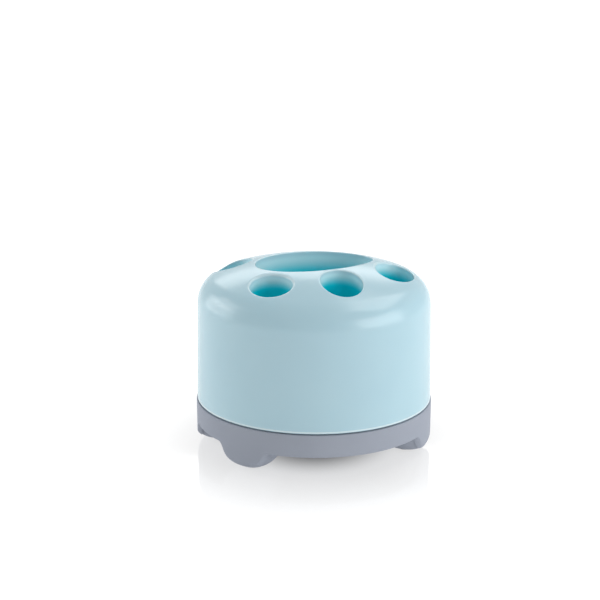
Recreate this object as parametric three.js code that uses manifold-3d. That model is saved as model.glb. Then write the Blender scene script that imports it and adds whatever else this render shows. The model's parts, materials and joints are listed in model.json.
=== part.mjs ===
// Toothbrush holder: an oval cover with one long compartment and four small wells, standing on a drip
// tray with four rounded feet. Millimetres, Z up, floor at z = 0, front towards -Y, right towards +X.

import * as THREE from 'three';
import { mergeVertices } from 'three/addons/utils/BufferGeometryUtils.js';
import Module from 'manifold-3d';

const wasm = await Module();
wasm.setup();

// Cover
const COVER_LENGTH = 128;
const COVER_DEPTH = 107;
const COVER_HEIGHT = 76.9;
const COVER_WALL = 2.2;
const SIDE_LEAN = 1.05;
const SHOULDER_RADIUS = 16;
const SHOULDER_END_SLOPE = THREE.MathUtils.degToRad(22.7);

// Wells: distances of their centres from the edge of the cover, and their oval bores turned by degrees
const WELL_WALL = 1.8;
const WELL_END_GAP = 2;
const FRONT_LEFT_WELL = { fromLeft: 42.4, fromFront: 27.5, length: 23.4, depth: 20.1, turn: -28.8 };
const FRONT_RIGHT_WELL = { fromRight: 48.9, fromFront: 30.1, length: 22.2, depth: 26.9, turn: 19 };
const REAR_LEFT_WELL = { fromLeft: 18.9, fromRear: 39.5, length: 21.8, depth: 21.8, turn: 0 };
const RIGHT_WELL = { fromRight: 20.9, fromFront: 55.4, length: 20.8, depth: 28.8, turn: -4.6 };
const COMPARTMENT = { fromLeft: 63.8, fromRear: 44.4, length: 65.5, depth: 41.6, turn: 19.5 };

// Tray
const BASE_PROUD = 0.5;
const SKIRT_HEIGHT = 12.7;
const SKIRT_WALL = 2.4;
const FLOOR_RECESS = 2.2;
const FLOOR_THICKNESS = 2.2;
const SPIGOT_HEIGHT = 4;
const SPIGOT_WALL = 1.8;
const SPIGOT_CLEARANCE = 0.4;
const SEAM_GAP = 0.3;

// Feet and their pads; angles run round the outline from the front, positive to the right
const FRONT_LEFT_FOOT = THREE.MathUtils.degToRad(-35.4);
const FRONT_RIGHT_FOOT = THREE.MathUtils.degToRad(78.6);
const REAR_LEFT_FOOT = THREE.MathUtils.degToRad(-94);
const REAR_RIGHT_FOOT = THREE.MathUtils.degToRad(144.6);
const FOOT_DROP = 12.5;
const FOOT_WIDTH = 32;
const FOOT_REACH = 19;
const FOOT_INSET = 12.3;
const FOOT_ROUND = 6.5;
const FOOT_FLAT_DEPTH = 1.5;
const PAD_DIAMETER = 9;
const PAD_THICKNESS = 2;
const PAD_PROUD = 1;
const PAD_INSET = 13.2;
const PAD_SIDE_CLEARANCE = 0.3;
const PAD_GLUE_GAP = 0.1;

// Colours and finish
const AQUA = 0xb9dde4;
const GREY = 0x9096a3;
const RUBBER = 0x55585e;

// Fineness of round shapes
const OUTLINE_STEPS = 80;
const ARC_STEPS = 7;
const CROWN_STEPS = 5;
const WELL_STEPS = 48;
const FOOT_STEPS = 24;
const CUT_MARGIN = 1;

// Levels and plan sizes that follow from the sizes above
const halfLength = COVER_LENGTH / 2;
const halfDepth = COVER_DEPTH / 2;
const footFlat = PAD_PROUD;
const skirtLow = footFlat + FOOT_DROP;
const seam = skirtLow + SKIRT_HEIGHT;
const coverLow = seam + SEAM_GAP;
const coverTop = coverLow + COVER_HEIGHT;
const spigotTop = seam + SPIGOT_HEIGHT;
const wellLow = spigotTop + WELL_END_GAP;
const floorLow = skirtLow + FLOOR_RECESS;
const floorTop = floorLow + FLOOR_THICKNESS;
const baseRadius = halfLength + BASE_PROUD;
const wallTopRadius = halfLength - SIDE_LEAN;
const crownRadius = wallTopRadius - SHOULDER_RADIUS * (1 - Math.sin(SHOULDER_END_SLOPE));
const crownRise = (crownRadius * Math.tan(SHOULDER_END_SLOPE)) / 3;
const shoulderArc = Math.PI / 2 - SHOULDER_END_SLOPE;
const wallTop = coverTop - crownRise - SHOULDER_RADIUS * Math.sin(shoulderArc);

// Half depth of the oval whose half length is r: outlines keep an even distance from the edge as far as
// the crown, and gather smoothly to a point in the middle of it.
function ovalDepth(r) {
  const share = Math.min(r / crownRadius, 1);
  return r - (halfLength - halfDepth) * share * (2 - share);
}

// A profile of [half length, height] points carried round the oval outline.
function ovalTurned(profile) {
  const points = profile.map(([r, z]) => new THREE.Vector2(r, z));
  const geometry = new THREE.LatheGeometry(points, OUTLINE_STEPS);
  geometry.rotateX(Math.PI / 2);
  const position = geometry.attributes.position;
  for (let i = 0; i < position.count; i += 1) {
    const r = Math.hypot(position.getX(i), position.getY(i));
    const stretch = r > 0 ? ovalDepth(r) / r : 1;
    position.setY(i, position.getY(i) * stretch);
  }
  return solidOf(geometry);
}

// An upright post with an oval section, from one height to another.
function uprightPost(place, length, depth, low, high, steps) {
  const geometry = new THREE.CylinderGeometry(1, 1, high - low, steps);
  geometry.rotateX(Math.PI / 2);
  geometry.scale(length / 2, depth / 2, 1);
  geometry.rotateZ(place.turn);
  geometry.translate(place.x, place.y, (low + high) / 2);
  return solidOf(geometry);
}

function solidOf(geometry) {
  const bare = geometry.clone();
  bare.deleteAttribute('normal');
  bare.deleteAttribute('uv');
  const merged = mergeVertices(bare, 1e-4);
  const corners = merged.index.array;
  const kept = [];
  for (let i = 0; i < corners.length; i += 3) {
    const [a, b, c] = corners.subarray(i, i + 3);
    if (a !== b && b !== c && c !== a) {
      kept.push(a, b, c);
    }
  }
  return new wasm.Manifold(new wasm.Mesh({
    numProp: 3,
    vertProperties: Float32Array.from(merged.attributes.position.array),
    triVerts: Uint32Array.from(kept),
  }));
}

function meshOf(solid, name, color, roughness) {
  const { vertProperties, triVerts } = solid.getMesh();
  const geometry = new THREE.BufferGeometry();
  geometry.setAttribute('position', new THREE.BufferAttribute(vertProperties, 3));
  geometry.setIndex(new THREE.BufferAttribute(triVerts, 1));
  geometry.computeVertexNormals();
  const material = new THREE.MeshStandardMaterial({ color, roughness, metalness: 0 });
  const mesh = new THREE.Mesh(geometry, material);
  mesh.name = name;
  return mesh;
}

function joined(solids) {
  return solids.reduce((whole, solid) => whole.add(solid));
}

// The cover's wall, shoulder and crown, set in by an even thickness, as a profile from low to the axis.
function coverProfile(inset, low) {
  const radius = SHOULDER_RADIUS - inset;
  const centre = wallTopRadius - SHOULDER_RADIUS;
  const profile = [[0, low], [halfLength - inset, low]];
  for (let i = 0; i <= ARC_STEPS; i += 1) {
    const angle = (shoulderArc * i) / ARC_STEPS;
    profile.push([centre + radius * Math.cos(angle), wallTop + radius * Math.sin(angle)]);
  }
  const [edge, edgeHeight] = profile.at(-1);
  const rise = coverTop - inset - edgeHeight;
  for (let i = CROWN_STEPS - 1; i >= 0; i -= 1) {
    const share = i / CROWN_STEPS;
    profile.push([edge * share, edgeHeight + rise * (1 - share ** 3)]);
  }
  return profile;
}

const wells = [
  {
    x: FRONT_LEFT_WELL.fromLeft - halfLength,
    y: FRONT_LEFT_WELL.fromFront - halfDepth,
    bore: FRONT_LEFT_WELL,
  },
  {
    x: halfLength - FRONT_RIGHT_WELL.fromRight,
    y: FRONT_RIGHT_WELL.fromFront - halfDepth,
    bore: FRONT_RIGHT_WELL,
  },
  {
    x: REAR_LEFT_WELL.fromLeft - halfLength,
    y: halfDepth - REAR_LEFT_WELL.fromRear,
    bore: REAR_LEFT_WELL,
  },
  {
    x: halfLength - RIGHT_WELL.fromRight,
    y: RIGHT_WELL.fromFront - halfDepth,
    bore: RIGHT_WELL,
  },
  {
    x: COMPARTMENT.fromLeft - halfLength,
    y: halfDepth - COMPARTMENT.fromRear,
    bore: COMPARTMENT,
  },
];

// All five wells as posts, with their walls or as bare bores.
function wellPosts(wall, low, high) {
  const posts = wells.map(({ x, y, bore }) => {
    const place = { x, y, turn: THREE.MathUtils.degToRad(bore.turn) };
    return uprightPost(place, bore.length + 2 * wall, bore.depth + 2 * wall, low, high, WELL_STEPS);
  });
  return joined(posts);
}

function coverSolid() {
  const outside = ovalTurned(coverProfile(0, coverLow));
  const inside = ovalTurned(coverProfile(COVER_WALL, coverLow - CUT_MARGIN));
  const walls = outside.intersect(wellPosts(WELL_WALL, wellLow, coverTop + CUT_MARGIN));
  const bores = wellPosts(0, wellLow - CUT_MARGIN, coverTop + CUT_MARGIN);
  return outside.subtract(inside).add(walls).subtract(bores);
}

// A point of the base outline and its outward direction, at an angle from the front.
function outlinePoint(angle) {
  const baseDepth = ovalDepth(baseRadius);
  const normal = new THREE.Vector2(Math.sin(angle) / baseRadius, -Math.cos(angle) / baseDepth);
  return {
    point: new THREE.Vector2(baseRadius * Math.sin(angle), -baseDepth * Math.cos(angle)),
    normal: normal.normalize(),
  };
}

function insetPlace(angle, inset) {
  const { point, normal } = outlinePoint(angle);
  const place = point.clone().addScaledVector(normal, -inset);
  return { x: place.x, y: place.y, turn: normal.angle() };
}

const feet = [
  { name: 'front_left', angle: FRONT_LEFT_FOOT },
  { name: 'front_right', angle: FRONT_RIGHT_FOOT },
  { name: 'rear_left', angle: REAR_LEFT_FOOT },
  { name: 'rear_right', angle: REAR_RIGHT_FOOT },
];

// The space the feet are cut from: the outline carried down to the floor with a rounded lower edge.
function footEnvelope() {
  const profile = [[0, footFlat]];
  for (let i = 0; i <= ARC_STEPS; i += 1) {
    const angle = (Math.PI * i) / (2 * ARC_STEPS);
    profile.push([
      baseRadius - FOOT_ROUND * (1 - Math.sin(angle)),
      footFlat + FOOT_ROUND * (1 - Math.cos(angle)),
    ]);
  }
  const top = (floorLow + floorTop) / 2;
  profile.push([baseRadius, top], [0, top]);
  return ovalTurned(profile);
}

function footBulb({ angle }) {
  const place = insetPlace(angle, FOOT_INSET);
  const bulb = new THREE.SphereGeometry(1, FOOT_STEPS, FOOT_STEPS / 2);
  bulb.rotateX(Math.PI / 2);
  bulb.scale(FOOT_REACH, FOOT_WIDTH / 2, FOOT_DROP + FOOT_FLAT_DEPTH);
  bulb.rotateZ(place.turn);
  bulb.translate(place.x, place.y, skirtLow);
  return solidOf(bulb);
}

function padPost({ angle }, clearance, low, high) {
  const size = PAD_DIAMETER + 2 * clearance;
  return uprightPost(insetPlace(angle, PAD_INSET), size, size, low, high, FOOT_STEPS);
}

function traySolid() {
  const spigotOuter = halfLength - COVER_WALL - SPIGOT_CLEARANCE;
  const spigotInner = spigotOuter - SPIGOT_WALL;
  const dish = ovalTurned([
    [0, floorLow],
    [baseRadius - SKIRT_WALL, floorLow],
    [baseRadius - SKIRT_WALL, skirtLow],
    [baseRadius, skirtLow],
    [baseRadius, seam],
    [spigotOuter, seam],
    [spigotOuter, spigotTop],
    [spigotInner, spigotTop],
    [spigotInner, floorTop],
    [0, floorTop],
  ]);
  const bulbs = footEnvelope().intersect(joined(feet.map(footBulb)));
  const recessTop = PAD_THICKNESS + PAD_GLUE_GAP;
  const recesses = feet.map((foot) => padPost(foot, PAD_SIDE_CLEARANCE, -CUT_MARGIN, recessTop));
  return dish.add(bulbs).subtract(joined(recesses));
}

const holder = new THREE.Group();
holder.add(meshOf(coverSolid(), 'cover', AQUA, 0.25));
holder.add(meshOf(traySolid(), 'base_tray', GREY, 0.5));
for (const foot of feet) {
  const pad = padPost(foot, 0, 0, PAD_THICKNESS);
  holder.add(meshOf(pad, `foot_pad_${foot.name}`, RUBBER, 0.9));
}

export default holder;
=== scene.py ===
"""Toothbrush holder: a glossy aqua cover with five wells, on a satin grey drip tray with feet."""

import json
import math

import bmesh
import bpy
from mathutils import Matrix, Vector


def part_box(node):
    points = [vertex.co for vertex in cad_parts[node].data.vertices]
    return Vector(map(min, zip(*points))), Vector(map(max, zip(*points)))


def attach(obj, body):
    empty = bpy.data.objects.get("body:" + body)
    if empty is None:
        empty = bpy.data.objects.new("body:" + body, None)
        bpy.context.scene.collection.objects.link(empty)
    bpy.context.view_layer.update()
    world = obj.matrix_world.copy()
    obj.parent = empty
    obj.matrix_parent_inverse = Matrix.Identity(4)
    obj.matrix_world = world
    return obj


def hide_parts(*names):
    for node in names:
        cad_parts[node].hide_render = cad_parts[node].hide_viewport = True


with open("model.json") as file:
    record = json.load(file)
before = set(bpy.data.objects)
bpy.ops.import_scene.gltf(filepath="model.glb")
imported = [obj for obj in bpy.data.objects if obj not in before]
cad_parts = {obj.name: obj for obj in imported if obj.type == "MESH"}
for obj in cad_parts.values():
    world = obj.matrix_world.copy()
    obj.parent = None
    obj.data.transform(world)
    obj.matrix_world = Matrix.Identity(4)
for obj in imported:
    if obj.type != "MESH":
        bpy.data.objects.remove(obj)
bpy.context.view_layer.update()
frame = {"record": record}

# Sizes that the frame gives, in metres
cover_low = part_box("cover")[0].z
half_length, half_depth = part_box("cover")[1].xy
base_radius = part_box("base_tray")[1].x
foot_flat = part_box("base_tray")[0].z
spigot_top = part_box("base_tray")[1].z

# Cover
COVER_HEIGHT = 0.07688
COVER_WALL = 0.0022
SIDE_LEAN = 0.00105
SHOULDER_RADIUS = 0.016
SHOULDER_END_SLOPE = math.radians(22.7)
TOP_END_SLOPE = math.radians(62)
CROWN_POWER = 3
COVER_EDGE_ROUND = 0.0006
SEAM_GROOVE = 0.0003

# Wells
WELL_WALL = 0.0018
WELL_END_GAP = 0.002

# Tray
SEAM_GAP = 0.0003
SKIRT_HEIGHT = 0.0127
SKIRT_WALL = 0.0024
SKIRT_EDGE_ROUND = 0.0008
SEAM_EDGE_ROUND = 0.0005
FLOOR_RECESS = 0.0022
FLOOR_THICKNESS = 0.0022
FLOOR_FILLET = 0.002
SPIGOT_WALL = 0.0018
SPIGOT_CLEARANCE = 0.0004
SPIGOT_EDGE_ROUND = 0.0005

# Feet and pads
FOOT_HALF_WIDTH = 0.016
FOOT_REACH = 0.019
FOOT_INSET = 0.0123
FOOT_ROUND = 0.0065
FOOT_FLAT_DEPTH = 0.0015
FOOT_FILLET_START = 0.96
FOOT_SOFTNESS = 0.0024
PAD_DIAMETER = 0.009
PAD_EDGE_ROUND = 0.0005
PAD_SIDE_CLEARANCE = 0.0003
PAD_GLUE_GAP = 0.0001

# Fineness of the meshes
COVER_STEPS = 240
TRAY_STEPS = 540
WELL_STEPS = 128
COMPARTMENT_STEPS = 280
INSIDE_STEPS = 120
PAD_STEPS = 48
ARC_STEPS = 14
LIP_STEPS = 5
EDGE_STEPS = 4
FLOOR_STEPS = 96
TOP_EDGE = 0.0011
UNDERSIDE_RING = 0.0009
UNDERSIDE_MARGIN = 0.003
SMOOTH_ROUNDS = 3
SMOOTH_SHARE = 0.5
HALVINGS = 40
WELD = 1e-6
LIP_MARGIN = 0.00003
SHARP_ANGLE = math.radians(35)

# Colours and finishes, with painted highlights on the cover's lower edge and lips and painted light
# and shade in the wells; grains, patches and edge highlight lines in metres
AQUA = (0.44, 0.655, 0.745)
AQUA_PALE = (0.455, 0.67, 0.755)
# Painted light and shade for the wells: pale near the rims, a deeper teal lower down
WELL_PAINTED_LIGHT = (0.62, 0.9, 0.97)
WELL_PAINTED_SHADE = (0.0, 0.7, 0.82)
# Painted highlight colour for the line above the lower edge and for the lips
EDGE_PAINTED_HIGHLIGHT = (0.68, 0.83, 0.88)
LIP_HIGHLIGHT_SHARE = 0.55
LIP_HIGHLIGHT_BAND = (0.02, 0.9)
EDGE_HIGHLIGHT_LINE = 0.0006
EDGE_HIGHLIGHT_FADE = 0.0003
OUTER_SKIN = 0.00015
AQUA_CLOUD = 0.03
AQUA_GLOSS_PATCH = 0.012
AQUA_ROUGHNESS = (0.2, 0.25)
AQUA_PEEL = 0.0016
AQUA_PEEL_HEIGHT = 0.000004
AQUA_SPECULAR = 0.65
AQUA_SUBSURFACE = 0.12
AQUA_SUBSURFACE_RADIUS = (0.7, 1.0, 1.1)
AQUA_SUBSURFACE_SCALE = 0.003
BORE_SHARE = 0.25
WELL_SHADE = 0.01
# Depths, in well widths, at which the painted light and the painted shade are full
WELL_PAINTED_LIGHT_REACH = 0.14
WELL_PAINTED_SHADE_REACH = 0.42
GREY = (0.36, 0.39, 0.455)
GREY_PALE = (0.375, 0.405, 0.47)
GREY_CLOUD = 0.02
GREY_GRAIN = 0.0004
GREY_GRAIN_HEIGHT = 0.000008
GREY_ROUGHNESS = (0.55, 0.65)
GREY_SPECULAR = 0.06
RUBBER = (0.05, 0.052, 0.058)
RUBBER_PALE = (0.07, 0.072, 0.078)
RUBBER_MOTTLE = 0.003
RUBBER_GRAIN = 0.0005
RUBBER_GRAIN_HEIGHT = 0.00003
RUBBER_ROUGHNESS = 0.85

# Stage and camera
FLOOR_RADIUS = 6.0
FLOOR_COLOUR = 0.8
FLOOR_BOUNCE = 0.22
FLOOR_SHEEN = 0.22
SHEEN_REACH = (0.05, 0.22)
FLOOR_ROUGHNESS = 0.05
FLOOR_WHITE = (0.82, 1.0)
OPEN_FLOOR = (0.055, 0.105)
# Under the holder the floor's glow and colour are turned down: a painted shadow on top of the cast
# one
SHADOW_SHARE = (0.03, 0.25)
SHADOW_CORE = (0.012, 0.05)
BACKGROUND = 1.0
AMBIENT = 0.44
CAMERA_PLACE = Vector((0.0271, -0.8313, 0.3784))
CAMERA_AIM = Vector((-0.0076, 0, 0.0821))
LENS = 98.1
SENSOR = 36

# Soft lights: name, place, width, height and power; they all face the middle of the holder
LIGHT_AIM = Vector((0, 0, 0.05))
SOFT_LIGHTS = [
    ("right_light", (0.9, -0.5, 0.27), 0.9, 0.7, 5.2),
    ("left_light", (-1.05, 0.15, 0.28), 0.9, 0.6, 3.4),
    ("right_top_light", (0.5, 0.15, 0.95), 0.9, 0.6, 3.6),
    ("left_top_light", (-0.95, 0.1, 0.6), 0.6, 0.45, 1.5),
    ("back_light", (-0.12, 0.95, 0.65), 0.9, 0.35, 2.1),
]

# Levels and radii that follow from the sizes above
cover_top = cover_low + COVER_HEIGHT
edge_low = cover_low + SEAM_GROOVE
seam = cover_low - SEAM_GAP
skirt_low = seam - SKIRT_HEIGHT
well_low = spigot_top + WELL_END_GAP
floor_low = skirt_low + FLOOR_RECESS
floor_top = floor_low + FLOOR_THICKNESS
wall_top_radius = half_length - SIDE_LEAN
shoulder_centre = wall_top_radius - SHOULDER_RADIUS
crown_radius = shoulder_centre + SHOULDER_RADIUS * math.sin(SHOULDER_END_SLOPE)
crown_rise = crown_radius * math.tan(SHOULDER_END_SLOPE) / CROWN_POWER
wall_top = cover_top - crown_rise - SHOULDER_RADIUS * math.cos(SHOULDER_END_SLOPE)
top_radius = shoulder_centre + SHOULDER_RADIUS * math.sin(TOP_END_SLOPE)


def oval_depth(r):
    """Half depth of the oval outline whose half length is r."""
    share = min(r / crown_radius, 1)
    return r - (half_length - half_depth) * share * (2 - share)


def oval_radius(x, y):
    """Half length of the oval outline that passes through a point."""
    low, high = abs(x), base_radius
    for _ in range(HALVINGS):
        r = (low + high) / 2
        if (x / r) ** 2 + (y / oval_depth(r)) ** 2 < 1:
            high = r
        else:
            low = r
    return high


def top_height(x, y):
    """Height of the cover's top, which is a flat dome that runs into the round shoulder."""
    r = oval_radius(x, y)
    if r < crown_radius:
        return cover_top - crown_rise * (r / crown_radius) ** CROWN_POWER
    return wall_top + math.sqrt(SHOULDER_RADIUS ** 2 - (r - shoulder_centre) ** 2)


def arc(centre_r, centre_z, radius, start, end, steps):
    """Points of an arc in a turned profile, both ends included; angles in degrees from outwards."""
    points = []
    for i in range(steps + 1):
        angle = math.radians(start + (end - start) * i / steps)
        points.append((centre_r + radius * math.cos(angle), centre_z + radius * math.sin(angle)))
    return points


def turned_oval(profile, steps):
    """A profile of (half length, height) points, spun and drawn into the oval outline."""
    bm = bmesh.new()
    points = [bm.verts.new((r, 0, z)) for r, z in profile]
    edges = [bm.edges.new(pair) for pair in zip(points, points[1:])]
    bmesh.ops.spin(
        bm, geom=points + edges, cent=(0, 0, 0), axis=(0, 0, 1),
        angle=math.tau, steps=steps, use_merge=True,
    )
    bmesh.ops.remove_doubles(bm, verts=bm.verts, dist=WELD)
    for v in bm.verts:
        r = math.hypot(v.co.x, v.co.y)
        if r > WELD:
            v.co.y *= oval_depth(r) / r
    return bm


def add_post(bm, plan, steps, top):
    """Adds an upright post: a unit circle carried by plan to its foot, and drawn up to a height."""
    made = bmesh.ops.create_circle(bm, cap_ends=True, segments=steps, radius=1, matrix=plan)
    base = list({f for v in made["verts"] for f in v.link_faces})
    grown = bmesh.ops.extrude_face_region(bm, geom=base)
    for g in grown["geom"]:
        if isinstance(g, bmesh.types.BMVert):
            g.co.z = top


def piece(name, bm):
    """A mesh object at the origin, with its faces pointing outwards."""
    bmesh.ops.recalc_face_normals(bm, faces=bm.faces)
    mesh = bpy.data.meshes.new(name)
    bm.to_mesh(mesh)
    bm.free()
    made = bpy.data.objects.new(name, mesh)
    bpy.context.scene.collection.objects.link(made)
    return made


def cut(target, tool):
    """Takes the tool's shape out of the target, and deletes the tool."""
    change = target.modifiers.new("cut", "BOOLEAN")
    change.operation = "DIFFERENCE"
    change.solver = "EXACT"
    change.object = tool
    graph = bpy.context.evaluated_depsgraph_get()
    result = bpy.data.meshes.new_from_object(target.evaluated_get(graph))
    target.modifiers.remove(change)
    old = target.data
    target.data = result
    result.name = target.name
    bpy.data.meshes.remove(old)
    bpy.data.objects.remove(tool)


def smooth(target):
    """Shades a piece smoothly, but for its sharp edges."""
    target.data.shade_smooth()
    target.data.set_sharp_from_angle(angle=SHARP_ANGLE)


class Well:
    """An upright well at an opening of the record: an oval bore, a turn in degrees and a lip."""

    def __init__(self, opening, length, depth, turn, lip, steps):
        low, high = openings[opening]
        self.place = (Vector(low) + Vector(high)) / 2
        self.half = (length / 2, depth / 2)
        self.turn = math.radians(turn)
        self.lip = lip
        self.steps = steps

    def plan(self, outset, z=0):
        """Carries a unit circle to the bore's outline, widened by outset, at a height."""
        a, b = self.half
        place = Matrix.Translation((self.place.x, self.place.y, z))
        size = Matrix.Diagonal((a + outset, b + outset, 1, 1))
        return place @ Matrix.Rotation(self.turn, 4, "Z") @ size

    def holds(self, point, outset):
        """Whether a point lies in the bore, widened by outset, as seen from above."""
        local = self.plan(outset).inverted() @ point
        return math.hypot(local.x, local.y) < 1


openings = {row["name"]: row["box_m"] for row in frame["record"]["physics"]["openings"]}
wells = [
    Well("front_left_well", 0.0234, 0.0201, -28.8, 0.0013, WELL_STEPS),
    Well("front_right_well", 0.0222, 0.0269, 19, 0.0007, WELL_STEPS),
    Well("rear_left_well", 0.0218, 0.0218, 0, 0.0008, WELL_STEPS),
    Well("right_well", 0.0208, 0.0288, -4.6, 0.0013, WELL_STEPS),
    Well("compartment", 0.0655, 0.0416, 19.5, 0.0007, COMPARTMENT_STEPS),
]


def even_out(bm, longest):
    """Splits the long inner edges of a flat fill and evens out its triangles."""
    while True:
        long = [e for e in bm.edges if not e.is_boundary and e.calc_length() > longest]
        if not long:
            break
        bmesh.ops.subdivide_edges(bm, edges=long, cuts=1)
        bmesh.ops.triangulate(bm, faces=bm.faces)
        for _ in range(SMOOTH_ROUNDS):
            inner = [e for e in bm.edges if not e.is_boundary]
            bmesh.ops.beautify_fill(bm, faces=bm.faces, edges=inner)
            loose = [v for v in bm.verts if not v.is_boundary]
            bmesh.ops.smooth_vert(
                bm, verts=loose, factor=SMOOTH_SHARE, use_axis_x=True, use_axis_y=True,
            )


def top_with_holes():
    """The domed top of the cover and its upper shoulder, open at each well as far as the lip."""
    bm = bmesh.new()
    outline = Matrix.Diagonal((top_radius, oval_depth(top_radius), 1, 1))
    bmesh.ops.create_circle(bm, segments=COVER_STEPS, radius=1, matrix=outline)
    for well in wells:
        bmesh.ops.create_circle(bm, segments=well.steps, radius=1, matrix=well.plan(well.lip))
    bmesh.ops.triangle_fill(bm, edges=bm.edges, use_beauty=True, normal=(0, 0, 1))
    even_out(bm, TOP_EDGE)
    for v in bm.verts:
        v.co.z = top_height(v.co.x, v.co.y)
    return bm


def sink_well(bm, well):
    """Rounds the lip of a well and carries its bore down to the cover's lower edge."""
    ring = [
        e for e in bm.edges
        if e.is_boundary and all(well.holds(v.co, well.lip + LIP_MARGIN) for v in e.verts)
    ]
    outset = well.lip
    for i in range(1, LIP_STEPS + 2):
        made = bmesh.ops.extrude_edge_only(bm, edges=ring)["geom"]
        verts = [g for g in made if isinstance(g, bmesh.types.BMVert)]
        ring = [e for e in made if isinstance(e, bmesh.types.BMEdge) and e.is_boundary]
        if i > LIP_STEPS:
            for v in verts:
                v.co.z = edge_low
            break
        angle = math.pi / 2 * i / LIP_STEPS
        narrower = well.lip * (1 - math.sin(angle))
        change = well.plan(narrower) @ well.plan(outset).inverted()
        bmesh.ops.transform(bm, matrix=change, verts=verts)
        outset = narrower
        for v in verts:
            v.co.z = top_height(v.co.x, v.co.y) - well.lip * (1 - math.cos(angle))


def cover_wall():
    """The cover's shoulder and side wall, down to its rounded lower edge."""
    start = 90 - math.degrees(TOP_END_SLOPE)
    edge = COVER_EDGE_ROUND
    profile = arc(shoulder_centre, wall_top, SHOULDER_RADIUS, start, 0, ARC_STEPS)
    # Two rings just above the lower edge bound the painted highlight line
    for above in (EDGE_HIGHLIGHT_LINE + EDGE_HIGHLIGHT_FADE, EDGE_HIGHLIGHT_LINE):
        lean = SIDE_LEAN * above / (wall_top - edge_low - edge)
        profile.append((half_length - lean, edge_low + edge + above))
    profile += arc(half_length - edge, edge_low + edge, edge, 0, -90, EDGE_STEPS)
    return turned_oval(profile, COVER_STEPS)


def cover_hollow():
    """The room inside the cover, round the walls of the wells."""
    radius = SHOULDER_RADIUS - COVER_WALL
    end = 90 - math.degrees(SHOULDER_END_SLOPE)
    below = cover_low - COVER_WALL
    profile = [(0, below), (half_length - COVER_WALL, below)]
    profile += arc(shoulder_centre, wall_top, radius, 0, end, ARC_STEPS)
    edge_r, edge_z = profile[-1]
    rise = cover_top - COVER_WALL - edge_z
    for i in reversed(range(ARC_STEPS)):
        share = i / ARC_STEPS
        profile.append((edge_r * share, edge_z + rise * (1 - share ** CROWN_POWER)))
    hollow = piece("hollow", turned_oval(profile, INSIDE_STEPS))
    for well in wells:
        post = bmesh.new()
        add_post(post, well.plan(WELL_WALL, well_low), well.steps, cover_top)
        cut(hollow, piece("post", post))
    return hollow


def mark_painted_well_shade(target):
    """Stores how deep in its well each point of a bore lies, less in a wide well; 0 elsewhere; this
    drives the painted light and shade down the wells.
    """
    depth = target.data.attributes.new("well_shade_depth", "FLOAT", "POINT")
    for v in target.data.vertices:
        for well in wells:
            if well.holds(v.co, well.lip * BORE_SHARE):
                below = max(top_height(v.co.x, v.co.y) - v.co.z, 0)
                depth.data[v.index].value = below / (min(well.half) + WELL_SHADE)


def mark_painted_highlights(target):
    """Stores how much painted highlight the plastic gets: 1 along a thin line above the lower edge,
    less on the lips, 0 elsewhere.
    """
    # The edge attribute holds the share of painted highlight
    edge = target.data.attributes.new("edge", "FLOAT", "POINT")
    low = edge_low + COVER_EDGE_ROUND
    for v in target.data.vertices:
        outer = oval_radius(v.co.x, v.co.y) > half_length - OUTER_SKIN
        edge_highlight = outer and low - WELD < v.co.z < low + EDGE_HIGHLIGHT_LINE + WELD
        lip = any(on_lip(well, v.co) for well in wells)
        edge.data[v.index].value = 1 if edge_highlight else LIP_HIGHLIGHT_SHARE * lip


def on_lip(well, point):
    """Whether a point lies on the rounded lip of a well, in the band that gets a painted highlight.
    """
    inner, outer = (well.lip * share for share in LIP_HIGHLIGHT_BAND)
    within = well.holds(point, outer) and not well.holds(point, inner)
    return within and point.z > top_height(point.x, point.y) - well.lip


def make_cover():
    """The cover: its top and side wall in one, with the wells sunk and the inside hollowed out."""
    bm = top_with_holes()
    for well in wells:
        sink_well(bm, well)
    wall = cover_wall()
    scratch = bpy.data.meshes.new("wall")
    wall.to_mesh(scratch)
    wall.free()
    bm.from_mesh(scratch)
    bpy.data.meshes.remove(scratch)
    bmesh.ops.remove_doubles(bm, verts=bm.verts, dist=WELD)
    rim = [e for e in bm.edges if e.is_boundary]
    bmesh.ops.triangle_fill(bm, edges=rim, use_beauty=True, normal=(0, 0, -1))
    cover = piece("cover_shell", bm)
    cut(cover, cover_hollow())
    smooth(cover)
    mark_painted_well_shade(cover)
    mark_painted_highlights(cover)
    return cover


cover = make_cover()
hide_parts("cover")
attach(cover, "cover")


class Foot:
    """A rounded foot under the outline, at degrees from the front that grow to the right."""

    def __init__(self, name, degrees):
        self.name = name
        angle = math.radians(degrees)
        depth = oval_depth(base_radius)
        edge = Vector((base_radius * math.sin(angle), -depth * math.cos(angle)))
        slope = Vector((math.sin(angle) / base_radius, -math.cos(angle) / depth))
        self.outward = slope.normalized()
        self.place = edge - self.outward * FOOT_INSET

    def share(self, x, y):
        """How much of the foot's drop is reached at a point: 1 under its middle, 0 clear of it."""
        away = Vector((x, y)) - self.place
        across = away.cross(self.outward) / FOOT_HALF_WIDTH
        d = math.hypot(away.dot(self.outward) / FOOT_REACH, across)
        if d < FOOT_FILLET_START:
            return math.sqrt(1 - d * d)
        return fillet_rate * max(fillet_end - d, 0) ** 2


# The bulb of a foot ends in a hollow fillet that meets it at the same height and slope
start_share = math.sqrt(1 - FOOT_FILLET_START ** 2)
fillet_width = 2 * start_share ** 2 / FOOT_FILLET_START
fillet_end = FOOT_FILLET_START + fillet_width
fillet_rate = start_share / fillet_width ** 2

feet = [
    Foot("front_left", -35.4),
    Foot("front_right", 78.6),
    Foot("rear_left", -94),
    Foot("rear_right", 144.6),
]


def soft_highest(a, b, softness):
    """The higher of two heights, with the crease between them rounded."""
    mix = min(max(0.5 + 0.5 * (a - b) / softness, 0), 1)
    return b + (a - b) * mix + softness * mix * (1 - mix)


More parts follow.
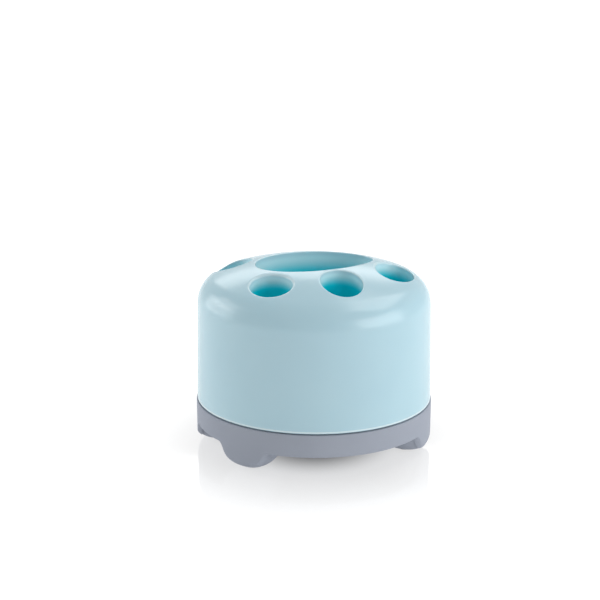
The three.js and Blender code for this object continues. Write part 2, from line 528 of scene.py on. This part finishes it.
def underside(r, x, y, level):
    """Height of the tray's underside, whose feet drop from the level that it has elsewhere."""
    share = max(foot.share(x, y) for foot in feet)
    bulb = level - (level - foot_flat + FOOT_FLAT_DEPTH) * share
    inward = min(base_radius - r, FOOT_ROUND)
    curve = foot_flat + FOOT_ROUND - math.sqrt(FOOT_ROUND ** 2 - (FOOT_ROUND - inward) ** 2)
    return soft_highest(bulb, curve, FOOT_SOFTNESS)


def tray_profile():
    """The tray from the middle of its underside, out round the skirt, and back over its floor."""
    inner_edge = base_radius - SKIRT_WALL
    spigot_outer = half_length - COVER_WALL - SPIGOT_CLEARANCE
    spigot_inner = spigot_outer - SPIGOT_WALL
    foot_inner = base_radius - FOOT_INSET - FOOT_REACH * fillet_end - UNDERSIDE_MARGIN
    profile = [(0, floor_low), (foot_inner / 2, floor_low)]
    rings = round((inner_edge - foot_inner) / UNDERSIDE_RING)
    for i in range(rings + 1):
        profile.append((foot_inner + (inner_edge - foot_inner) * i / rings, floor_low))
    turn_start = math.asin(1 - SKIRT_WALL / FOOT_ROUND)
    for i in range(ARC_STEPS + 1):
        angle = turn_start + (math.pi / 2 - turn_start) * i / ARC_STEPS
        r = base_radius - FOOT_ROUND * (1 - math.sin(angle))
        over = max(r - base_radius + SKIRT_EDGE_ROUND, 0)
        rise = SKIRT_EDGE_ROUND - math.sqrt(max(SKIRT_EDGE_ROUND ** 2 - over ** 2, 0))
        profile.append((r, skirt_low + rise))
    edge = SEAM_EDGE_ROUND
    profile.append((base_radius, (skirt_low + seam) / 2))
    profile += arc(base_radius - edge, seam - edge, edge, 0, 90, EDGE_STEPS)
    edge = SPIGOT_EDGE_ROUND
    profile += reversed(arc(spigot_outer + edge, seam + edge, edge, 180, 270, EDGE_STEPS))
    profile += arc(spigot_outer - edge, spigot_top - edge, edge, 0, 90, EDGE_STEPS)
    profile += arc(spigot_inner + edge, spigot_top - edge, edge, 90, 180, EDGE_STEPS)
    edge = FLOOR_FILLET
    profile += reversed(arc(spigot_inner - edge, floor_top + edge, edge, -90, 0, EDGE_STEPS))
    profile += [(foot_inner, floor_top), (0, floor_top)]
    return profile


def make_tray():
    """The drip tray with its skirt and feet, and a recess for each pad."""
    bm = turned_oval(tray_profile(), TRAY_STEPS)
    for v in bm.verts:
        if v.co.z < (floor_low + floor_top) / 2:
            r = min(oval_radius(v.co.x, v.co.y), base_radius)
            v.co.z = underside(r, v.co.x, v.co.y, v.co.z)
    bmesh.ops.remove_doubles(bm, verts=bm.verts, dist=WELD)
    tray = piece("tray", bm)
    recesses = bmesh.new()
    for foot in feet:
        add_pad_disc(recesses, foot, PAD_SIDE_CLEARANCE, PAD_GLUE_GAP)
    cut(tray, piece("recesses", recesses))
    smooth(tray)
    return tray


def add_pad_disc(bm, foot, wider, thicker):
    """Adds a disc where a foot's pad is, wider and thicker than the pad all round."""
    low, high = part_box("foot_pad_" + foot.name)
    middle = (low + high) / 2
    place = Matrix.Translation((middle.x, middle.y, low.z - thicker))
    size = Matrix.Scale(PAD_DIAMETER / 2 + wider, 4)
    add_post(bm, place @ size, PAD_STEPS, high.z + thicker)


def make_pad(foot):
    """A rubber disc bonded under a foot, with both its rims rounded."""
    bm = bmesh.new()
    add_pad_disc(bm, foot, 0, 0)
    rims = [e for e in bm.edges if abs(e.verts[0].co.z - e.verts[1].co.z) < WELD]
    bmesh.ops.bevel(
        bm, geom=rims, offset=PAD_EDGE_ROUND, affect="EDGES",
        segments=EDGE_STEPS, profile=0.5, material=-1,
    )
    pad = piece("pad_" + foot.name, bm)
    smooth(pad)
    return pad


tray = make_tray()
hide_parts("base_tray")
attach(tray, "base")

pads = []
for foot in feet:
    pad = make_pad(foot)
    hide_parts("foot_pad_" + foot.name)
    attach(pad, "base")
    pads.append(pad)


def add_node(tree, kind, inputs=None, **settings):
    """Adds a shader node; an input is a value, or a socket to link from."""
    node = tree.nodes.new(kind)
    for name, value in settings.items():
        setattr(node, name, value)
    for name, value in (inputs or {}).items():
        if isinstance(value, bpy.types.NodeSocket):
            tree.links.new(value, node.inputs[name])
        else:
            node.inputs[name].default_value = value
    return node


def new_material(name):
    """A material whose tree has only an output, and the piece's own coordinates in metres."""
    material = bpy.data.materials.new(name)
    material.use_nodes = True
    tree = material.node_tree
    tree.nodes.clear()
    output = add_node(tree, "ShaderNodeOutputMaterial")
    place = add_node(tree, "ShaderNodeTexCoord").outputs["Object"]
    return material, tree, output, place


def noise(tree, place, grain, detail=2.0):
    """A noise whose grain is about that many metres across."""
    return add_node(
        tree, "ShaderNodeTexNoise", {"Vector": place, "Scale": 1 / grain, "Detail": detail},
    ).outputs["Fac"]


def ranged(tree, value, low, high, start=0.3, end=0.7):
    """Carries a value that runs from start to end on to a range from low to high."""
    return add_node(
        tree, "ShaderNodeMapRange",
        {"Value": value, "From Min": start, "From Max": end, "To Min": low, "To Max": high},
    ).outputs["Result"]


def eased(tree, value, start, end):
    """0 up to a start, 1 from an end, and a smooth rise between them."""
    return add_node(tree, "ShaderNodeMapRange", {
        "Value": value, "From Min": start, "From Max": end, "To Min": 0.0, "To Max": 1.0,
    }, interpolation_type="SMOOTHSTEP").outputs["Result"]


def tinted(tree, share, first, second):
    """A colour that goes from first to second with a share; each is a colour or a socket."""
    mix = add_node(tree, "ShaderNodeMix", {"Factor": share}, data_type="RGBA")
    for socket, colour in ((mix.inputs["A"], first), (mix.inputs["B"], second)):
        if isinstance(colour, bpy.types.NodeSocket):
            tree.links.new(colour, socket)
        else:
            socket.default_value = (*colour, 1)
    return mix.outputs["Result"]


def aqua_plastic():
    """Glossy moulded plastic, with painted highlights on its lower edge and lips, and painted light
    and shade down the wells: pale near the rims and a deeper teal lower down.
    """
    material, tree, output, place = new_material("aqua_plastic")
    clouding = ranged(tree, noise(tree, place, AQUA_CLOUD), 0, 1)
    skin = tinted(tree, clouding, AQUA, AQUA_PALE)
    # Painted light near the well rims and painted shade lower down, by depth in the well
    depth = add_node(tree, "ShaderNodeAttribute", attribute_name="well_shade_depth").outputs["Fac"]
    painted_rim_light = tinted(tree, eased(tree, depth, 0.0, WELL_PAINTED_LIGHT_REACH), skin, WELL_PAINTED_LIGHT)
    shaded_bores = tinted(tree, eased(tree, depth, WELL_PAINTED_LIGHT_REACH, WELL_PAINTED_SHADE_REACH), painted_rim_light, WELL_PAINTED_SHADE)
    # Painted highlights: a pale line above the cover's lower edge, and on the lips
    edge = add_node(tree, "ShaderNodeAttribute", attribute_name="edge").outputs["Fac"]
    colour = tinted(tree, edge, shaded_bores, EDGE_PAINTED_HIGHLIGHT)
    gloss = ranged(tree, noise(tree, place, AQUA_GLOSS_PATCH, detail=4.0), *AQUA_ROUGHNESS)
    peel = add_node(tree, "ShaderNodeBump", {
        "Height": noise(tree, place, AQUA_PEEL, detail=1.0),
        "Strength": 1.0, "Distance": AQUA_PEEL_HEIGHT,
    }).outputs["Normal"]
    shader = add_node(tree, "ShaderNodeBsdfPrincipled", {
        "Base Color": colour, "Roughness": gloss, "Normal": peel,
        "Subsurface Weight": AQUA_SUBSURFACE, "Subsurface Radius": AQUA_SUBSURFACE_RADIUS,
        "Subsurface Scale": AQUA_SUBSURFACE_SCALE, "Specular IOR Level": AQUA_SPECULAR,
    })
    tree.links.new(shader.outputs["BSDF"], output.inputs["Surface"])
    return material


def grey_plastic():
    """Satin moulded plastic with a fine spark-eroded grain."""
    material, tree, output, place = new_material("grey_plastic")
    clouding = ranged(tree, noise(tree, place, GREY_CLOUD), 0, 1)
    gloss = ranged(tree, noise(tree, place, GREY_GRAIN), *GREY_ROUGHNESS)
    grain = add_node(tree, "ShaderNodeBump", {
        "Height": noise(tree, place, GREY_GRAIN, detail=3.0),
        "Strength": 1.0, "Distance": GREY_GRAIN_HEIGHT,
    }).outputs["Normal"]
    shader = add_node(tree, "ShaderNodeBsdfPrincipled", {
        "Base Color": tinted(tree, clouding, GREY, GREY_PALE), "Roughness": gloss, "Normal": grain,
        "Specular IOR Level": GREY_SPECULAR,
    })
    tree.links.new(shader.outputs["BSDF"], output.inputs["Surface"])
    return material


def pad_rubber():
    """Matt dark rubber, a little mottled."""
    material, tree, output, place = new_material("pad_rubber")
    mottle = ranged(tree, noise(tree, place, RUBBER_MOTTLE, detail=3.0), 0, 1)
    grain = add_node(tree, "ShaderNodeBump", {
        "Height": noise(tree, place, RUBBER_GRAIN),
        "Strength": 1.0, "Distance": RUBBER_GRAIN_HEIGHT,
    }).outputs["Normal"]
    shader = add_node(tree, "ShaderNodeBsdfPrincipled", {
        "Base Color": tinted(tree, mottle, RUBBER, RUBBER_PALE),
        "Roughness": RUBBER_ROUGHNESS, "Normal": grain,
    })
    tree.links.new(shader.outputs["BSDF"], output.inputs["Surface"])
    return material


cover.data.materials.append(aqua_plastic())
tray.data.materials.append(grey_plastic())
rubber = pad_rubber()
for pad in pads:
    pad.data.materials.append(rubber)


def seen_directly(tree):
    """1 for rays from the camera, off gloss or through glass, and 0 for light on things."""
    path = add_node(tree, "ShaderNodeLightPath")
    shiny = add_node(tree, "ShaderNodeMath", operation="ADD")
    tree.links.new(path.outputs["Is Camera Ray"], shiny.inputs[0])
    tree.links.new(path.outputs["Is Glossy Ray"], shiny.inputs[1])
    total = add_node(tree, "ShaderNodeMath", operation="ADD", use_clamp=True)
    tree.links.new(shiny.outputs["Value"], total.inputs[0])
    tree.links.new(path.outputs["Is Transmission Ray"], total.inputs[1])
    return total.outputs["Value"]


def joined(tree, first, second):
    """Two shaders added together."""
    both = add_node(tree, "ShaderNodeAddShader")
    tree.links.new(first.outputs[0], both.inputs[0])
    tree.links.new(second.outputs[0], both.inputs[1])
    return both


def mixed(tree, share, first, second):
    """A shader that goes from first to second with a share."""
    mix = add_node(tree, "ShaderNodeMixShader", {"Fac": share})
    tree.links.new(first.outputs[0], mix.inputs[1])
    tree.links.new(second.outputs[0], mix.inputs[2])
    return mix


def floor_finish():
    """White to look at, with a soft cast shadow that a painted shadow deepens under the holder, and
    a faint reflection; else a pale grey reflector.
    """
    material, tree, output, place = new_material("floor_white")
    reflector = add_node(tree, "ShaderNodeBsdfDiffuse", {"Color": (FLOOR_COLOUR,) * 3 + (1,)})
    bounce = add_node(tree, "ShaderNodeEmission", {"Strength": FLOOR_BOUNCE})
    plain = joined(tree, reflector, bounce)
    away = add_node(tree, "ShaderNodeVectorMath", {0: place}, operation="LENGTH").outputs["Value"]
    open_floor = ranged(tree, eased(tree, away, *OPEN_FLOOR), *FLOOR_WHITE, 0, 1)
    # Painted shadow: the glow and the colour fall off towards the middle, under the holder
    out_of_core = eased(tree, away, *SHADOW_CORE)
    glow = ranged(tree, out_of_core, 0, open_floor, 0, 1)
    shade = ranged(tree, out_of_core, *SHADOW_SHARE, 0, 1)
    shaded = add_node(tree, "ShaderNodeBsdfDiffuse", {"Color": shade})
    white = add_node(tree, "ShaderNodeEmission", {"Strength": glow})
    mirror = add_node(tree, "ShaderNodeBsdfAnisotropic", {"Roughness": FLOOR_ROUGHNESS})
    sheen = ranged(tree, away, FLOOR_SHEEN, 0, *SHEEN_REACH)
    glossed = mixed(tree, sheen, joined(tree, shaded, white), mirror)
    either = mixed(tree, seen_directly(tree), plain, glossed)
    tree.links.new(either.outputs["Shader"], output.inputs["Surface"])
    return material


def make_floor():
    """A round white floor, far wider than the picture."""
    bm = bmesh.new()
    bmesh.ops.create_circle(bm, cap_ends=True, segments=FLOOR_STEPS, radius=FLOOR_RADIUS)
    floor = piece("floor", bm)
    floor.data.materials.append(floor_finish())


def make_world():
    """A white surround to look at, and a plain ambient light."""
    world = bpy.data.worlds.new("studio")
    bpy.context.scene.world = world
    world.use_nodes = True
    tree = world.node_tree
    tree.nodes.clear()
    strength = ranged(tree, seen_directly(tree), AMBIENT, BACKGROUND, 0, 1)
    light = add_node(tree, "ShaderNodeBackground", {"Strength": strength})
    output = add_node(tree, "ShaderNodeOutputWorld")
    tree.links.new(light.outputs["Background"], output.inputs["Surface"])


def soft_box(name, place, width, height, power):
    """A rectangular soft light, out of the camera's sight."""
    lamp = bpy.data.lights.new(name, "AREA")
    lamp.shape = "RECTANGLE"
    lamp.size = width
    lamp.size_y = height
    lamp.energy = power
    made = bpy.data.objects.new(name, lamp)
    made.location = place
    made.rotation_euler = (LIGHT_AIM - Vector(place)).to_track_quat("-Z", "Y").to_euler()
    made.visible_camera = False
    bpy.context.scene.collection.objects.link(made)


def make_camera():
    """The camera, at the photograph's viewing angle."""
    data = bpy.data.cameras.new("camera")
    data.lens = LENS
    data.sensor_width = SENSOR
    made = bpy.data.objects.new("camera", data)
    made.location = CAMERA_PLACE
    made.rotation_euler = (CAMERA_AIM - CAMERA_PLACE).to_track_quat("-Z", "Y").to_euler()
    bpy.context.scene.collection.objects.link(made)
    bpy.context.scene.camera = made


make_floor()
make_world()
make_camera()
for light in SOFT_LIGHTS:
    soft_box(*light)
bpy.context.scene.view_settings.view_transform = "Standard"
